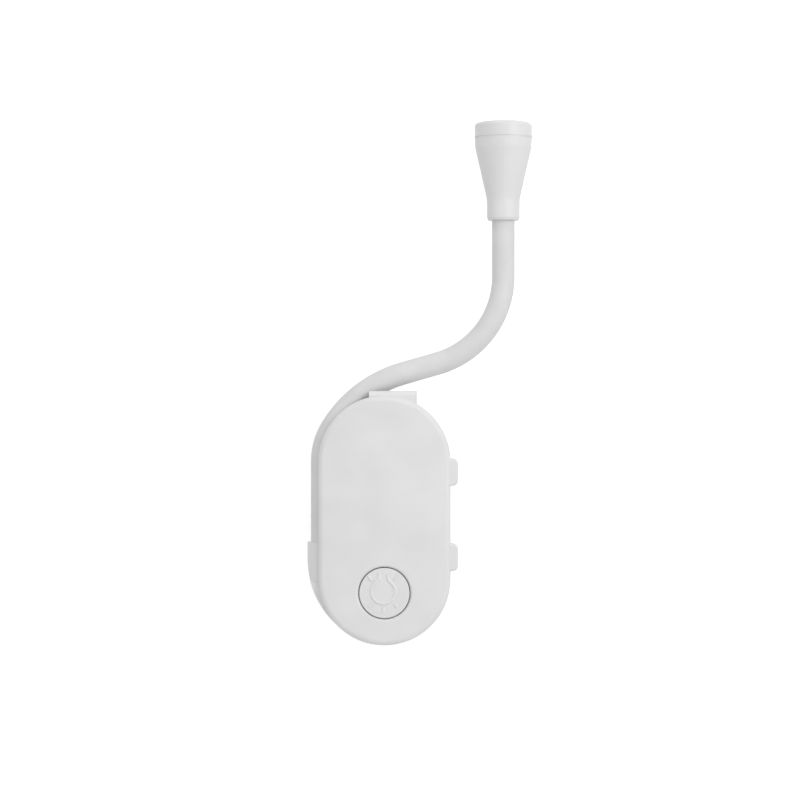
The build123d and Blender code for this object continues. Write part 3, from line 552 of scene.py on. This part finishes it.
@dataclass
class NeckSleeve:
    """The bendable neck's silicone sleeve: one piece across each bend, cut where two pieces share a body."""

    radius: float = 2.5
    spacing: float = 0.8
    sides: int = 48
    bend_reach: float = 4.2
    cut_margin: float = 0.2
    depth: float = 5.0
    groove_centre: float = 13.8
    root_height: float = -13.4
    groove_length: float = 26.3
    wrap_angle: float = 30.0
    rise_radius: float = 27.0
    rise_angle: float = 44.0
    bridge_length: float = 8.1
    elbow_radius: float = 20.0
    elbow_angle: float = 74.0
    top_length: float = 16.6
    bends: Sequence[tuple[float, Turn]] = (
        (14.4, Turn.SWAY), (43.5, Turn.SWAY), (58.5, Turn.NOD), (71.5, Turn.SWAY), (83.0, Turn.NOD),
        (90.2, Turn.SWAY), (96.6, Turn.NOD))

    def track(self) -> Track:
        """Gives the neck's route: up the groove, over the case's shoulder, across and up to the head."""
        runs = (Run(self.groove_length),
                Run(math.radians(self.wrap_angle) * self.groove_centre, -self.groove_centre),
                Run(math.radians(self.rise_angle) * self.rise_radius, -self.rise_radius),
                Run(self.bridge_length),
                Run(math.radians(self.elbow_angle) * self.elbow_radius, self.elbow_radius),
                Run(self.top_length))
        return Track((-self.groove_centre, self.root_height), 90.0, self.depth, runs)

    def cuts(self, length: float) -> list[float]:
        """Gives where the pieces start and end: the root, midway between bends, and the head."""
        places = [distance for distance, _ in self.bends]
        middles = [(a + b) / 2 for a, b in zip(places, places[1:])]
        return [0.0, *middles, length]

    def build(self, shelf: FinishShelf) -> list[bpy.types.Object]:
        """Makes the sleeve's pieces, one across each bend, and hides the neck's rigid spans that they stand in for.

        Args:
            shelf: Where finishes come from.

        Returns:
            The pieces from the root to the head.
        """
        count = len(self.bends)
        track = self.track()
        cuts = self.cuts(sum(run.length for run in track.runs))
        pieces = []
        for i, (distance, turn) in enumerate(self.bends):
            piece = track.sweep(f"neck_sleeve_skin_{i}", self.radius, cuts[i], cuts[i + 1],
                                self.spacing, self.sides)
            shelf.dress(piece, "neck_silicone")
            room = min(distance - cuts[i], cuts[i + 1] - distance) - self.cut_margin
            reach = min(self.bend_reach, room)
            track.point(distance, -reach)
            track.point(distance, reach)
            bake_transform(piece)
            spans = [f"neck_sleeve_{i}"] + ([f"neck_sleeve_{count}"] if i == count - 1 else [])
            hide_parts(*spans)
            LOG.info("%s bends %s over %.1f mm", piece.name, turn.value, 2 * reach)
            pieces.append(piece)
        return pieces


@dataclass
class ButtonSymbol:
    """The raised symbol on the button: a plain hanging bulb with five rays, as half-round ridges."""

    centre: tuple[float, float] = (0.0, -15.84)
    face_depth: float = 11.25
    ridge: float = 0.4
    sunk: float = 0.2
    bulb_centre: tuple[float, float] = (-0.27, 0.3)
    bulb_radius: float = 2.62
    throat: float = 38.0
    neck_left: float = -1.25
    neck_right: float = 0.7
    neck_low: float = 3.05
    neck_tops: tuple[float, float] = (4.55, 4.1)
    spacing: float = 0.18
    sides: int = 12
    rays: Sequence[tuple[tuple[float, float], tuple[float, float]]] = (
        ((-3.65, 3.85), (-2.75, 2.7)), ((3.05, 4.1), (2.1, 2.95)), ((-0.3, -4.2), (-0.3, -3.0)),
        ((-3.35, -3.1), (-2.7, -2.3)), ((2.75, -3.1), (2.25, -2.4)))

    def bar(self, name: str, start: tuple[float, float], heading: float, runs: Sequence[Run]) -> bpy.types.Object:
        """Makes one ridge from a start, a heading and runs, all seen from the front in mm."""
        place = (self.centre[0] + start[0], self.centre[1] + start[1])
        track = Track(place, heading, self.face_depth - self.sunk, runs)
        return track.sweep(name, self.ridge, 0.0, sum(run.length for run in runs), self.spacing,
                           self.sides)

    def stroke(self, name: str, start: tuple[float, float], end: tuple[float, float]) -> bpy.types.Object:
        """Makes one straight ridge between two places."""
        dx, dz = end[0] - start[0], end[1] - start[1]
        return self.bar(name, start, math.degrees(math.atan2(dz, dx)), (Run(math.hypot(dx, dz)),))

    def neck(self, side: str, start: tuple[float, float], x: float, top: float) -> list[bpy.types.Object]:
        """Makes one side of the bulb's neck: a shoulder from the bulb's end, and a straight rise."""
        corner = (x, self.neck_low)
        return [self.stroke(f"symbol_{side}_shoulder", start, corner),
                self.stroke(f"symbol_{side}_neck", corner, (x, top))]

    def build(self, shelf: FinishShelf) -> bpy.types.Object:
        """Makes the symbol as one piece that rides the button.

        Args:
            shelf: Where finishes come from.

        Returns:
            The piece.
        """
        (bx, bz), radius = self.bulb_centre, self.bulb_radius
        left = math.radians(90.0 + self.throat)
        right = math.radians(90.0 - self.throat)
        left_end = (bx + radius * math.cos(left), bz + radius * math.sin(left))
        right_end = (bx + radius * math.cos(right), bz + radius * math.sin(right))
        sweep = math.radians(360.0 - 2 * self.throat)
        parts = [self.bar("button_symbol", left_end, math.degrees(left) + 90.0, (Run(sweep * radius, radius),)),
                 *self.neck("left", left_end, self.neck_left, self.neck_tops[0]),
                 *self.neck("right", right_end, self.neck_right, self.neck_tops[1])]
        parts += [self.stroke(f"symbol_ray_{i}", *ray) for i, ray in enumerate(self.rays)]
        bpy.ops.object.select_all(action="DESELECT")
        for part in parts:
            part.select_set(True)
        bpy.context.view_layer.objects.active = parts[0]
        bpy.ops.object.join()
        symbol = settle(bpy.context.object)
        shelf.dress(symbol, "button_plastic")
        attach(symbol, "button")
        LOG.info("%s rides the button", symbol.name)
        return symbol


@dataclass
class LampOptics:
    """What shows in the lamp head: the domed lens, the lamp's cup and phosphor, and the seam's bead."""

    lens_radius: float = 5.06
    lens_lift: float = 0.03
    lens_edge: float = 0.5
    lens_rise: float = 0.45
    dome_steps: int = 8
    sides: int = 64
    cup_radius: float = 1.15
    cup_height: float = 1.3
    cup_rise: float = 0.05
    cup_drop: float = 3.9
    phosphor_radius: float = 0.85
    phosphor_edge: float = 0.06
    phosphor_rise: float = 0.22
    bead_radius: float = 6.05
    bead_wire: float = 0.18
    bead_steps: tuple[int, int] = (96, 12)
    ring_height: float = 3.3

    def disc(self, name: str, radius: float, low: Vector, edge: float, rise: float) -> bpy.types.Object:
        """Makes a round piece with a straight edge and a domed top.

        Args:
            name: The piece's name.
            radius: Its radius in mm.
            low: The middle of its flat underside, in metres.
            edge: The height of its straight edge in mm.
            rise: How far the dome rises above the edge in mm.

        Returns:
            The piece.
        """
        bpy.ops.object.select_all(action="DESELECT")
        bpy.ops.mesh.primitive_circle_add(vertices=self.sides, radius=radius * MM, fill_type="NOTHING",
                                          location=low)
        piece = bpy.context.object
        piece.name = piece.data.name = name
        with editing(piece):
            self.lift(edge)
            height, width = 0.0, 1.0
            for step in range(1, self.dome_steps):
                angle = math.radians(90.0 * step / self.dome_steps)
                self.lift(rise * math.sin(angle) - height)
                share = math.cos(angle) / width
                bpy.ops.transform.resize(value=(share, share, 1.0), center_override=low)
                height, width = rise * math.sin(angle), math.cos(angle)
            close_and_orient()
        return settle(piece)

    @staticmethod
    def lift(distance: float) -> None:
        """Extrudes the selected ring upwards by a distance in mm."""
        bpy.ops.mesh.extrude_region_move(TRANSFORM_OT_translate={"value": Vector((0.0, 0.0, distance)) * MM})

    def build(self, shelf: FinishShelf) -> None:
        """Makes the lens, the lamp's inner parts and the bead, all on the lamp head.

        Args:
            shelf: Where finishes come from.
        """
        low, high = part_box("head_lens")
        middle = Vector(((low[0] + high[0]) / 2, (low[1] + high[1]) / 2, low[2] + self.lens_lift * MM))
        lens = self.disc("lamp_lens", self.lens_radius, middle, self.lens_edge, self.lens_rise)
        shelf.dress(lens, "lens_clear")
        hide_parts("head_lens")
        top = Vector((middle.x, middle.y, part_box("head_led")[1][2]))
        cup_low = top - Vector((0.0, 0.0, self.cup_drop)) * MM
        cup = self.disc("lamp_cup", self.cup_radius, cup_low, self.cup_height, self.cup_rise)
        shelf.dress(cup, "reflector_metal")
        phosphor = self.disc("lamp_phosphor", self.phosphor_radius,
                             cup_low + Vector((0.0, 0.0, self.cup_height)) * MM,
                             self.phosphor_edge, self.phosphor_rise)
        phosphor.data.materials.append(shelf.made_from(PHOSPHOR))
        bpy.ops.object.select_all(action="DESELECT")
        seam = Vector((middle.x, middle.y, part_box("head_ring")[1][2] - self.ring_height * MM))
        bpy.ops.mesh.primitive_torus_add(major_radius=self.bead_radius * MM, minor_radius=self.bead_wire * MM,
                                         major_segments=self.bead_steps[0],
                                         minor_segments=self.bead_steps[1], location=seam)
        bead = bpy.context.object
        bead.name = bead.data.name = "seam_bead"
        shelf.dress(settle(bead), "head_plastic")
        for piece in (lens, cup, phosphor, bead):
            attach(piece, "lamp_head")
            LOG.info("%s rides the lamp head", piece.name)


@dataclass
class ClipSpring:
    """The clip's torsion spring: a coil round the pin that winds up as the lever is squeezed."""

    pivot: tuple[float, float] = (4.1, 2.0)
    mean_radius: float = 1.6
    wire: float = 0.6
    pitch: float = 0.75
    cross_angle: float = 34.5
    leg: float = 9.5
    knee: float = 4.4
    case_y: float = 0.4
    lever_y: float = 3.0
    sides: int = 12
    steps_per_turn: int = 32

    @property
    def turns(self) -> float:
        """How often the wire goes round, from the side nearest the case to where the second leg leaves."""
        return 4.0 + (180.0 + self.cross_angle) / 360.0

    def coil(self) -> bpy.types.Object:
        """Makes the coil from a ring that is screwed round the pin's line."""
        height = self.turns * self.pitch
        pivot = Vector((0.0, self.pivot[0], self.pivot[1])) * MM
        bpy.ops.object.select_all(action="DESELECT")
        start = Vector((-height / 2, self.pivot[0] - self.mean_radius, self.pivot[1])) * MM
        bpy.ops.mesh.primitive_circle_add(vertices=self.sides, radius=self.wire / 2 * MM, fill_type="NOTHING",
                                          location=start)
        coil = bpy.context.object
        coil.name = coil.data.name = "clip_spring_wire"
        bpy.context.scene.cursor.location = pivot
        bpy.ops.object.origin_set(type="ORIGIN_CURSOR")
        screw = coil.modifiers.new("Winding", "SCREW")
        screw.axis = "X"
        screw.angle = math.radians(360.0 * self.turns)
        screw.screw_offset = height * MM
        screw.steps = screw.render_steps = round(self.steps_per_turn * self.turns)
        bpy.ops.object.modifier_apply(modifier=screw.name)
        with editing(coil):
            close_and_orient()
        return settle(coil)

    def leg_piece(self, name: str, x: float, start: tuple[float, float], end_y: float) -> bpy.types.Object:
        """Makes one leg: out of the coil to its knee, then straight up along its resting face.

        Args:
            name: The piece's name.
            x: Its place along the pin in mm.
            start: Where it leaves the coil, as Y and Z in mm.
            end_y: The Y of its resting line.

        Returns:
            The piece.
        """
        knee = (end_y, self.pivot[1] + self.knee)
        tip = (end_y, self.pivot[1] + self.leg)
        first = Vector((knee[0] - start[0], knee[1] - start[1]))
        lean = math.atan2(first.x, first.y)
        bpy.ops.object.select_all(action="DESELECT")
        bpy.ops.mesh.primitive_circle_add(vertices=self.sides, radius=self.wire / 2 * MM, fill_type="NOTHING",
                                          location=Vector((x, *start)) * MM, rotation=(-lean, 0.0, 0.0))
        piece = bpy.context.object
        piece.name = piece.data.name = name
        with editing(piece):
            bpy.ops.mesh.extrude_region_move(TRANSFORM_OT_translate={"value": Vector((0.0, *first)) * MM})
            bpy.ops.transform.rotate(value=-lean, orient_axis="X",
                                     center_override=Vector((x, *knee)) * MM)
            rise = Vector((0.0, tip[0] - knee[0], tip[1] - knee[1])) * MM
            bpy.ops.mesh.extrude_region_move(TRANSFORM_OT_translate={"value": rise})
            close_and_orient()
        return settle(piece)

    def build(self, shelf: FinishShelf) -> bpy.types.Object:
        """Makes the spring as one piece that winds between the case and the lever.

        Args:
            shelf: Where finishes come from.

        Returns:
            The piece.
        """
        half = self.turns * self.pitch / 2
        angle = math.radians(self.cross_angle)
        y, z = self.pivot
        coil = self.coil()
        case_leg = self.leg_piece("spring_case_leg", -half, (y - self.mean_radius, z), self.case_y)
        lever_leg = self.leg_piece("spring_lever_leg", half, (y + self.mean_radius * math.cos(angle),
                                                              z + self.mean_radius * math.sin(angle)), self.lever_y)
        bpy.ops.object.select_all(action="DESELECT")
        for part in (coil, case_leg, lever_leg):
            part.select_set(True)
        bpy.context.view_layer.objects.active = coil
        bpy.ops.object.join()
        shelf.dress(coil, "spring_steel")
        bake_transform(coil)
        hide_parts("clip_spring")
        LOG.info("%s winds between the case and the lever", coil.name)
        return coil


@dataclass
class Studio:
    """A white set: a pale floor, a pale card close behind the object, soft lamps and the camera."""

    card_y: float = 9.2
    floor_z: float = -62.0
    half_size: float = 1.6
    ambient: float = 0.66
    paper_tones: tuple[float, float] = (0.78, 0.8)
    paper_fibre_mm: float = 1.5
    paper_glow: float = 0.5
    key_place: Place = (520.0, -560.0, 300.0)
    key_size: float = 0.45
    key_power: float = 1.7
    fill_place: Place = (-120.0, -380.0, 620.0)
    fill_size: float = 0.5
    fill_power: float = 0.8
    camera_place: Place = (3.41, -536.0, 26.4)
    focal_mm: float = 108.0

    @staticmethod
    def seen_directly(tree: bpy.types.NodeTree, path: bpy.types.Node) -> bpy.types.NodeSocket:
        """Gives 1 for rays from the camera, a gloss or a clear piece, and 0 for the light that falls on things."""
        seen = path.outputs["Is Camera Ray"]
        for name in ("Is Glossy Ray", "Is Transmission Ray"):
            either = add_node(tree, "Math", {"operation": "MAXIMUM"})
            tree.links.new(seen, either.inputs[0])
            tree.links.new(path.outputs[name], either.inputs[1])
            seen = either.outputs[0]
        return seen

    def surface(self, name: str, see_through_back: bool) -> bpy.types.Material:
        """Makes the set's paper: white to the camera, and it keeps the object's soft shadow.

        Args:
            name: The material's name.
            see_through_back: Whether it is there for the view from the front alone.

        Returns:
            The material.
        """
        material = bpy.data.materials.new(name)
        material.use_nodes = True
        tree = material.node_tree
        tree.nodes.clear()
        path = add_node(tree, "LightPath")
        fibre = add_node(tree, "TexNoise", {"Scale": 1.0 / (self.paper_fibre_mm * MM), "Detail": 3.0},
                         {"Vector": add_node(tree, "TexCoord").outputs["Object"]})
        dark, light = self.paper_tones
        tone = add_node(tree, "MapRange", {"To Min": dark, "To Max": light}, {"Value": fibre.outputs["Fac"]})
        paper = add_node(tree, "BsdfDiffuse", links={"Color": tone.outputs["Result"]})
        seen = self.seen_directly(tree, path)
        lift = add_node(tree, "Math", {"operation": "MULTIPLY"})
        tree.links.new(seen, lift.inputs[0])
        lift.inputs[1].default_value = self.paper_glow
        glow = add_node(tree, "Emission", {"Color": (1.0, 1.0, 1.0, 1.0)}, {"Strength": lift.outputs[0]})
        both = add_node(tree, "AddShader")
        tree.links.new(paper.outputs[0], both.inputs[0])
        tree.links.new(glow.outputs[0], both.inputs[1])
        output = add_node(tree, "OutputMaterial")
        if see_through_back:
            clear = add_node(tree, "BsdfTransparent")
            facing = add_node(tree, "Math", {"operation": "SUBTRACT"})
            tree.links.new(path.outputs["Is Camera Ray"], facing.inputs[0])
            tree.links.new(add_node(tree, "NewGeometry").outputs["Backfacing"], facing.inputs[1])
            facing.use_clamp = True
            mix = add_node(tree, "MixShader", links={"Fac": facing.outputs[0]})
            tree.links.new(clear.outputs[0], mix.inputs[1])
            tree.links.new(both.outputs[0], mix.inputs[2])
            tree.links.new(mix.outputs[0], output.inputs["Surface"])
        else:
            tree.links.new(both.outputs[0], output.inputs["Surface"])
        return material

    def plane(self, name: str, location: Place, rotation: Place, material: bpy.types.Material) -> None:
        """Adds one flat sheet of the set."""
        bpy.ops.object.select_all(action="DESELECT")
        bpy.ops.mesh.primitive_plane_add(size=2 * self.half_size, location=Vector(location) * MM, rotation=rotation)
        sheet = bpy.context.object
        sheet.name = name
        sheet.data.materials.append(material)

    def lamp(self, name: str, location: Place, size: float, power: float,
             target: Place = (5.0, 0.0, 20.0)) -> None:
        """Adds a soft square lamp that faces the object."""
        light = bpy.data.lights.new(name, "AREA")
        light.size = size
        light.energy = power
        holder = bpy.data.objects.new(name, light)
        bpy.context.scene.collection.objects.link(holder)
        holder.location = Vector(location) * MM
        aim = Vector(target) * MM - holder.location
        holder.rotation_mode = "QUATERNION"
        holder.rotation_quaternion = aim.to_track_quat("-Z", "Y")

    def world(self) -> None:
        """Lights the set evenly, and shows white to the camera and in reflections."""
        world = bpy.data.worlds.new("white studio")
        bpy.context.scene.world = world
        world.use_nodes = True
        tree = world.node_tree
        tree.nodes.clear()
        path = add_node(tree, "LightPath")
        seen = self.seen_directly(tree, path)
        level = add_node(tree, "MapRange", {"To Min": self.ambient, "To Max": 1.0}, {"Value": seen})
        back = add_node(tree, "Background", {"Color": (1.0, 1.0, 1.0, 1.0)}, {"Strength": level.outputs["Result"]})
        add_node(tree, "OutputWorld", links={"Surface": back.outputs[0]})

    def build(self) -> None:
        """Sets up the floor, the card, the lamps, the world and the camera."""
        paper = self.surface("white paper", False)
        card = self.surface("white card, open at the back", True)
        self.plane("floor", (0.0, 0.0, self.floor_z), (0.0, 0.0, 0.0), paper)
        self.plane("card", (0.0, self.card_y, 0.0), (math.radians(90.0), 0.0, 0.0), card)
        self.world()
        self.lamp("key", self.key_place, self.key_size, self.key_power)
        self.lamp("top_fill", self.fill_place, self.fill_size, self.fill_power)
        camera = bpy.data.cameras.new("camera")
        camera.lens = self.focal_mm
        camera.sensor_width = 36.0
        camera.clip_start = 0.01
        camera.clip_end = 10.0
        holder = bpy.data.objects.new("camera", camera)
        bpy.context.scene.collection.objects.link(holder)
        holder.location = Vector(self.camera_place) * MM
        holder.rotation_euler = (math.radians(90.0), 0.0, 0.0)
        bpy.context.scene.camera = holder
        bpy.context.scene.view_settings.view_transform = "Standard"


def main() -> None:
    """Dresses the solids, builds the pieces in order and sets up the studio."""
    logging.basicConfig(level=logging.INFO, format="%(message)s")
    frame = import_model()
    bpy.ops.object.select_all(action="DESELECT")
    shelf = FinishShelf()
    shelf.dress_solids(frame)
    NeckSleeve().build(shelf)
    ButtonSymbol().build(shelf)
    LampOptics().build(shelf)
    ClipSpring().build(shelf)
    Studio().build()


if __name__ == "__main__":
    main()
